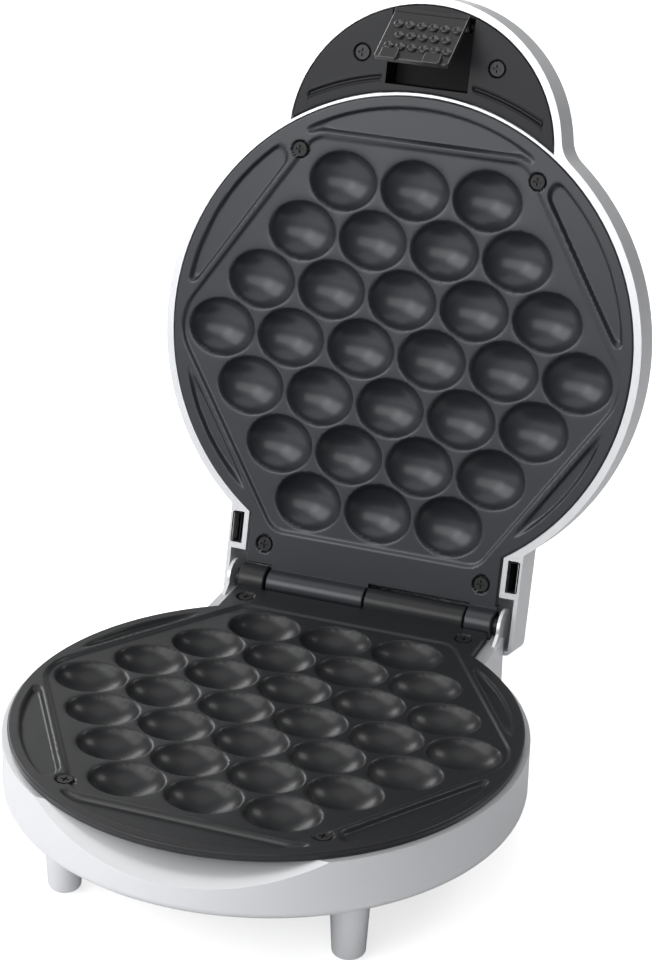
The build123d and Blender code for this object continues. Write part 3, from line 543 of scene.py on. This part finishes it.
def roundedRectangle(x0, x1, y0, y1, radius, steps=6):
    # The outline and its outward normals, corner by corner
    turns = np.linspace(0, pi / 2, steps)
    right, left, rear, front = x1 - radius, x0 + radius, y1 - radius, y0 + radius
    corners = [(right, rear), (left, rear), (left, front), (right, front)]
    angles = np.concatenate([turns + quarter * pi / 2 for quarter in range(4)])
    out = np.column_stack([np.cos(angles), np.sin(angles)])
    return np.repeat(corners, steps, axis=0) + radius * out, out


def slabSheet(outline, out, low, high, edge):
    # A closed slab: from the middle of its top over a rounded edge to the middle of its underside
    top = [(grow - edge, z, side, rise) for grow, z, side, rise in quarterRound(edge, high)]
    under = [(grow, low + high - z, side, -rise) for grow, z, side, rise in reversed(top)]
    points, normals = carried(outline, out, top + under)
    middle = np.tile(outline.mean(0), (len(outline), 1))
    points = np.stack([raised(middle, high), *points, raised(middle, low)])
    normals = np.stack([raised(0 * middle, 1), *normals, raised(0 * middle, -1)])
    return sheet(points, normals, True)


latchForm = {
    "front": -129.2, "rise": 2.0, "half": 15.6, "barrel": 2.9, "length": 29.4, "low": -3.8,
    "thickness": 2.4, "drop": 1.4, "edge": 0.6, "corner": 1.2,
    "webFront": 0.6, "webCorner": 0.8, "webEdge": 0.3,
    "hookX": 9.0, "hookHalf": 3.5, "hookFront": -103.8, "hookBack": -97.9, "hookLow": -5.9,
    "hookThickness": 2.0, "hookCorner": 0.5, "hookEdge": 0.4,
    "bumpRadius": 2.05, "bumpHeight": 1.1, "bumpTurns": 24, "bumpPitch": 4.9, "bumpRows": (6, 5, 6),
    "firstRow": 9.8, "rowStep": 6.4, "bumpShift": 1.1,
    # Shares of the radius and of the height, from the foot up to the brim and down into the dish
    "bumpProfile": ((1, 0), (0.99, 0.45), (0.93, 0.78), (0.82, 0.96), (0.7, 1), (0.58, 0.88), (0.48, 0.6),
                    (0.38, 0.3), (0.2, 0.14), (0, 0.1)),
}


def bumpSheet(x, y, form):
    # A low round bump with a dished top: the profile (radius, height) turned about its own middle
    profile = np.array(form["bumpProfile"]) * (form["bumpRadius"], form["bumpHeight"])
    tangent = np.gradient(profile, axis=0)
    turns = np.linspace(0, 2 * pi, form["bumpTurns"], endpoint=False)
    around = np.column_stack([np.cos(turns), np.sin(turns)])
    points = np.stack([raised(around * radius + (x, y), form["low"] - z) for radius, z in profile])
    normals = np.stack([raised(around * dz, dr) for dr, dz in tangent])
    return sheet(points, normals, True)


def latchSheets(form):
    # The barrel, the flap, the web between them, the two hooks and the rows of bumps
    half, front, low = form["half"], form["front"], form["low"]
    stations = barStations(-half, half, form["barrel"], form["edge"])
    stations = [(-half, 0, -1, 0), *stations, (half, 0, 1, 0)]
    flap = roundedRectangle(-half, half, front + form["drop"], front + form["length"], form["corner"])
    web = roundedRectangle(-half, half, front - form["webFront"], front + form["barrel"], form["webCorner"])
    sheets = [ringSheet(stations, (front, form["rise"])),
              slabSheet(*flap, low, low + form["thickness"], form["edge"]),
              slabSheet(*web, low, form["rise"], form["webEdge"])]
    for middle in (-form["hookX"], form["hookX"]):
        left, right = middle - form["hookHalf"], middle + form["hookHalf"]
        hook = roundedRectangle(left, right, form["hookFront"], form["hookBack"], form["hookCorner"])
        hookHigh = form["hookLow"] + form["hookThickness"]
        sheets.append(slabSheet(*hook, form["hookLow"], hookHigh, form["hookEdge"]))
    for row, count in enumerate(form["bumpRows"]):
        for column in range(count):
            x = (column - (count - 1) / 2) * form["bumpPitch"] + form["bumpShift"]
            sheets.append(bumpSheet(x, front + form["firstRow"] + row * form["rowStep"], form))
    return sheets


latchFlap = makePiece("latchFlap", latchSheets(latchForm), latchPlace, "latch", "latchBlack")
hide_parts("latch")

coverForm = {
    "face": 0.4, "thickness": 3.0, "inner": 100.8, "outer": 56.3, "outerY": -79.8, "tipX": 55.6,
    "edge": 0.7, "trayHalf": 17.6, "trayFront": -132.8, "trayBack": -102.9, "trayDepth": 10.0,
    "wallTaper": 1.2, "backTaper": 0.3,
    "groove": 107.0, "grooveHalf": 0.85, "grooveSlope": 0.5, "grooveDepth": 1.0,
    "grooveEnds": (19.2, 50.5), "lip": 0.22, "lipHalf": 0.45,
    "screw": (28.7, -114.1), "seatRadius": 3.6, "seatDepth": 1.8, "seatEdge": (0.2, 0.5),
    "normalStep": 0.15, "edgeRings": (0, 0.06, 0.2, 0.4, 0.7), "plainRings": (102.5, 103.7, 104.9),
    "grooveReach": 1.8, "grooveRings": 25, "lastRing": 109.3, "outerRings": 63, "leastOuter": 8.0,
    "sideColumns": 90, "middleColumns": 60, "backRows": 10, "frontRows": 20, "frontCrowding": 0.6,
    "wallColumns": 120,
}


def coverHeight(x, y, form):
    # Rounded edges: z = e - sqrt(e^2 - (e - d)^2) within e of an edge, plus the grooves, each with a low
    # lip along both its sides, and the screw seats
    radius = np.hypot(x, y)
    outer = form["outer"] - np.hypot(x, y - form["outerY"])
    near = np.clip(form["edge"] - np.minimum(outer, radius - form["inner"]), 0, form["edge"])
    height = form["edge"] - np.sqrt(form["edge"]**2 - near**2)
    start, end = form["grooveEnds"]
    span = smoothStep(np.abs(x) - start) * smoothStep(end - np.abs(x))
    fromSide = np.abs(radius - form["groove"]) - form["grooveHalf"]
    groove = form["grooveDepth"] * smoothStep(-fromSide / form["grooveSlope"])
    lip = form["lip"] * smoothStep(1 - np.abs(fromSide - form["lipHalf"]) / form["lipHalf"])
    fromScrew = np.hypot(np.abs(x) - form["screw"][0], y - form["screw"][1])
    return form["face"] + height + span * (groove - lip) + form["seatDepth"] * seatShare(fromScrew, form)


def coverGrid(x, radii, form):
    # Columns of constant x; every column runs along the given distances from the plate's centre
    columns = np.broadcast_to(x, radii.shape)
    y = -np.sqrt(radii**2 - columns**2)
    slopeX, slopeY = slopesOf(coverHeight, columns, y, form, form["normalStep"])
    points = np.stack([columns, y, coverHeight(columns, y, form)], -1)
    return sheet(points, np.stack([slopeX, slopeY, -np.ones_like(y)], -1))


def outerRadius(x, form):
    # How far the cover's outer arc is from the plate's centre
    return np.hypot(x, form["outerY"] - np.sqrt(form["outer"]**2 - x**2))


def coverSheets(form):
    half, inner, last = form["trayHalf"], form["inner"], form["lastRing"]
    reach = form["grooveReach"]
    # Beside the tray: fixed rings over the groove, then even ones to the outer arc
    nearGroove = form["groove"] + np.linspace(-reach, reach, form["grooveRings"])
    fixed = np.concatenate([inner + np.array(form["edgeRings"]), form["plainRings"], nearGroove, [last]])
    sheets = []
    for side in (-1, 1):
        x = side * (half + (form["tipX"] - half) * np.linspace(0, 1, form["sideColumns"]))
        outer = outerRadius(x, form)
        rest = last + (outer - last) * np.linspace(0, 1, form["outerRings"])[1:, None]
        rings = np.vstack([np.repeat(fixed[:, None], len(x), 1), rest])
        even = inner + (outer - inner) * np.linspace(0, 1, len(rings))[:, None]
        sheets.append(coverGrid(x, np.where(outer < last + form["leastOuter"], even, rings), form))
    # Behind and in front of the tray
    x = np.linspace(-half, half, form["middleColumns"])
    back, front = np.hypot(x, form["trayBack"]), np.hypot(x, form["trayFront"])
    steps = np.linspace(0, 1, form["backRows"])[:, None]
    sheets.append(coverGrid(x, inner + (back - inner) * steps, form))
    steps = np.linspace(0, 1, form["frontRows"])[:, None] ** form["frontCrowding"]
    sheets.append(coverGrid(x, front + (outerRadius(x, form) - front) * steps, form))
    # Outer and inner side walls
    x = np.linspace(-form["tipX"], form["tipX"], form["wallColumns"])
    top, low = form["face"] + form["edge"], form["face"] + form["thickness"]
    for radii, way, centreY in ((outerRadius(x, form), 1, form["outerY"]), (inner, -1, 0)):
        loop = np.column_stack([x, -np.sqrt(radii**2 - x**2)])
        points = np.stack([raised(loop, top), raised(loop, low)])
        sheets.append(sheet(points, way * (points - (0, centreY, 0)) * (1, 1, 0)))
    return sheets


def traySheets(form):
    # Four walls that lean in a little, and the floor
    half, front, back = form["trayHalf"], form["trayFront"], form["trayBack"]
    taper, backTaper = form["wallTaper"], form["backTaper"]
    mouth = np.array([(-half, front), (half, front), (half, back), (-half, back)])
    floor = mouth + np.array([(taper, taper), (-taper, taper), (-taper, -backTaper), (taper, -backTaper)])
    top, bottom = raised(mouth, form["face"]), raised(floor, form["face"] + form["trayDepth"])
    sheets = []
    for ends in ([0, 1], [1, 2], [2, 3], [3, 0]):
        alongX, alongY, _ = top[ends[1]] - top[ends[0]]
        sheets.append(sheet(np.stack([top[ends], bottom[ends]]), (-alongY, alongX, 0)))
    sheets.append(sheet(bottom[np.array([[0, 1], [3, 2]])], (0, 0, -1)))
    return sheets


handleCover = makePiece("handleCoverFace", coverSheets(coverForm), lidPlace, "lid", "coverBlack")
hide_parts("handle_cover")
# The tray's walls and floor take the near-black of painted shade, for the shade under the latch
latchTray = makePiece("latchTray", traySheets(coverForm), lidPlace, "lid", "shadeBlack")

pocketShadeForm = {
    "outerX": 63.5, "innerX": 59.2, "front": 83.0, "back": 96.0, "corner": 0.5, "face": 0.25,
    "flangeBack": 0.4, "faceEdge": 0.2, "inset": 0.5, "lean": 0.3, "depth": 9.0,
}


def pocketShadeSheets(form):
    # Dark sheets in the pockets of the lid's arms, painted shade for their hollows, each with a thin flange
    # that frames the hollow
    face, inset, depth = form["face"], form["inset"], form["depth"]
    profile = [(0, form["flangeBack"], 1, 0), (0, face, 1, -0.5), (-form["faceEdge"], face, 0, -1),
               (-inset, face, 0, -1), (-inset, face, -1, 0), (-inset - form["lean"], depth, -1, 0)]
    sheets = []
    for x0, x1 in ((-form["outerX"], -form["innerX"]), (form["innerX"], form["outerX"])):
        outline, out = roundedRectangle(x0, x1, form["front"], form["back"], form["corner"])
        points, normals = carried(outline, out, profile)
        middle = raised(np.tile(outline.mean(0), (len(outline), 1)), depth)
        sheets += [sheet(points, normals, True), sheet(np.stack([points[-1], middle]), (0, 0, -1), True)]
    return sheets


crownForm = {
    "apex": 28.0, "edge": 90.6, "rise": 4.0, "reach": 52.0, "lift": 0.04, "hem": 0.4, "hemLift": -0.15,
    "rings": 27, "columns": 96,
}


def crownSheet(form):
    # The smooth middle of the lid's dome: z = apex - R + sqrt(R^2 - r^2), R = (edge^2 + rise^2) / (2 rise),
    # a hair above the housing, with a last ring that dips into it
    sphere = (form["edge"]**2 + form["rise"]**2) / (2 * form["rise"])
    radii = np.linspace(0, form["reach"], form["rings"])
    radii = np.append(radii, form["reach"] + form["hem"])[:, None]
    lift = np.where(radii > form["reach"], form["hemLift"], form["lift"])
    turns = np.linspace(0, 2 * pi, form["columns"], endpoint=False)
    x, y = radii * np.cos(turns), radii * np.sin(turns)
    fall = np.sqrt(sphere**2 - radii**2) + 0 * turns
    points = np.stack([x, y, form["apex"] - sphere + fall + lift], -1)
    return sheet(points, np.stack([x, y, fall], -1), True)


lidCrown = makePiece("lidCrown", [crownSheet(crownForm)], lidPlace, "lid", "silverShell")
# The arms' pockets are darkened with painted shade
armPocketShades = makePiece("armPocketShades", pocketShadeSheets(pocketShadeForm), lidPlace, "lid", "shadeBlack")
print("latch and cover ready:", len(latchFlap.data.polygons), len(handleCover.data.polygons), "faces")

stageLook = {
    "size": 6.0, "floorColor": (0.93, 0.93, 0.93, 1), "roughness": 0.9, "glow": 0.68,
    "shadedBounce": ((0.97, 0.97, 0.98, 1), (0.34, 0.34, 0.35, 1)), "shadeSpan": (-0.1, 0.35),
}


def stageMaterial(name, look):
    # White to the camera; to the light, a pale floor with painted shade that darkens it towards the right
    material = bpy.data.materials.new(name)
    material.use_nodes = True
    tree = material.node_tree
    shader = tree.nodes["Principled BSDF"]
    shader.inputs["Base Color"].default_value = look["floorColor"]
    shader.inputs["Roughness"].default_value = look["roughness"]
    glow = addNode(tree, "ShaderNodeEmission", (0, -300))
    glow.inputs["Strength"].default_value = look["glow"]
    add = addNode(tree, "ShaderNodeAddShader", (100, -200))
    coords = addNode(tree, "ShaderNodeTexCoord", (-900, 100))
    split = addNode(tree, "ShaderNodeSeparateXYZ", (-700, 100))
    across = addNode(tree, "ShaderNodeMapRange", (-500, 100))
    across.inputs["From Min"].default_value, across.inputs["From Max"].default_value = look["shadeSpan"]
    # Painted shade: the floor's colour for bounced light falls from pale on the left to dark on the right
    tint = addNode(tree, "ShaderNodeMix", (-250, 100), data_type="RGBA")
    tint.inputs["A"].default_value, tint.inputs["B"].default_value = look["shadedBounce"]
    shadedBounce = addNode(tree, "ShaderNodeBsdfDiffuse", (0, 200))
    path = addNode(tree, "ShaderNodeLightPath", (-300, 300))
    mix = addNode(tree, "ShaderNodeMixShader", (250, 0))
    addLinks(
        tree,
        (coords.outputs["Object"], split.inputs["Vector"]),
        (split.outputs["X"], across.inputs["Value"]),
        (across.outputs["Result"], tint.inputs["Factor"]),
        (tint.outputs["Result"], shadedBounce.inputs["Color"]),
        (shader.outputs["BSDF"], add.inputs[0]),
        (glow.outputs["Emission"], add.inputs[1]),
        (path.outputs["Is Camera Ray"], mix.inputs["Fac"]),
        (shadedBounce.outputs["BSDF"], mix.inputs[1]),
        (add.outputs["Shader"], mix.inputs[2]),
        (mix.outputs["Shader"], tree.nodes["Material Output"].inputs["Surface"]),
    )
    return material


reach = stageLook["size"] / 2
floorCorners = [(-reach, -reach, 0), (reach, -reach, 0), (reach, reach, 0), (-reach, reach, 0)]
floorMesh = bpy.data.meshes.new("floor")
floorMesh.from_pydata(floorCorners, [], [(0, 1, 2, 3)])
floor = bpy.data.objects.new("floor", floorMesh)
bpy.context.scene.collection.objects.link(floor)
floor.data.materials.append(stageMaterial("floorWhite", stageLook))

# The room is white to the camera; its light comes from the left, so it is darker on the right
roomLook = {"color": (1, 1, 1, 1), "toCamera": 1.0, "leftX": -0.6, "left": 0.42, "right": 0.12}
world = bpy.data.worlds.new("studio")
bpy.context.scene.world = world
world.use_nodes = True
tree = world.node_tree
background = tree.nodes["Background"]
background.inputs["Color"].default_value = roomLook["color"]
worldCoords = addNode(tree, "ShaderNodeTexCoord", (-1100, -100))
worldAxes = addNode(tree, "ShaderNodeSeparateXYZ", (-900, -100))
worldSide = addNode(tree, "ShaderNodeMapRange", (-700, -100))
worldSide.inputs["From Min"].default_value = roomLook["leftX"]
worldSide.inputs["To Min"].default_value = roomLook["left"]
worldSide.inputs["To Max"].default_value = roomLook["right"]
worldPath = addNode(tree, "ShaderNodeLightPath", (-700, 200))
worldStrength = addNode(tree, "ShaderNodeMapRange", (-400, 200))
worldStrength.inputs["To Max"].default_value = roomLook["toCamera"]
addLinks(
    tree,
    (worldCoords.outputs["Generated"], worldAxes.inputs["Vector"]),
    (worldAxes.outputs["X"], worldSide.inputs["Value"]),
    (worldSide.outputs["Result"], worldStrength.inputs["To Min"]),
    (worldPath.outputs["Is Camera Ray"], worldStrength.inputs["Value"]),
    (worldStrength.outputs["Result"], background.inputs["Strength"]),
)

lampSet = [
    {"name": "leftBox", "place": (-1.1, -0.95, 1.0), "size": (1.5, 1.0), "power": 12},
    {"name": "sideBox", "place": (-1.15, 0.8, 0.75), "size": (0.9, 0.5), "power": 7},
    {"name": "backBox", "place": (-0.8, 1.6, 0.1), "size": (1.8, 0.12), "power": 0.8},
    {"name": "frontBox", "place": (-0.1, -1.6, 0.85), "size": (2.0, 0.8), "power": 11},
    {"name": "topBox", "place": (-0.1, -0.15, 1.6), "size": (1.2, 1.2), "power": 3.5},
    {"name": "edgeBox", "place": (1.0, 0.75, 1.3), "size": (0.6, 0.6), "power": 5},
]
aim = Vector((0, 0.03, 0.12))
for lamp in lampSet:
    light = bpy.data.lights.new(lamp["name"], "AREA")
    light.shape = "RECTANGLE"
    light.size, light.size_y = lamp["size"]
    light.energy = lamp["power"]
    lightObject = bpy.data.objects.new(lamp["name"], light)
    place = Vector(lamp["place"])
    towardAim = (place - aim).to_track_quat("Z", "Y").to_matrix().to_4x4()
    lightObject.matrix_world = Matrix.Translation(place) @ towardAim
    bpy.context.scene.collection.objects.link(lightObject)

view = {"azimuth": 20.465, "elevation": 23.990, "roll": 1.495, "distance": 1.1617, "lens": 107.16,
        "sensor": 36, "target": (-0.01417, 0.052104, 0.11395)}
turn, lift, roll = (radians(view[key]) for key in ("azimuth", "elevation", "roll"))
back = Vector((sin(turn) * cos(lift), -cos(turn) * cos(lift), sin(lift)))
right = Vector((0, 0, 1)).cross(back).normalized()
up = back.cross(right)
rolledRight = right * cos(roll) + up * sin(roll)
rolledUp = -right * sin(roll) + up * cos(roll)
cameraData = bpy.data.cameras.new("photoCamera")
cameraData.sensor_fit = "AUTO"
cameraData.sensor_width = view["sensor"]
cameraData.lens = view["lens"]
camera = bpy.data.objects.new("photoCamera", cameraData)
turned = Matrix((rolledRight, rolledUp, back)).transposed().to_4x4()
camera.matrix_world = Matrix.Translation(Vector(view["target"]) + back * view["distance"]) @ turned
bpy.context.scene.collection.objects.link(camera)
bpy.context.scene.camera = camera
bpy.context.scene.view_settings.view_transform = "Standard"
print("stage, lights and camera ready")
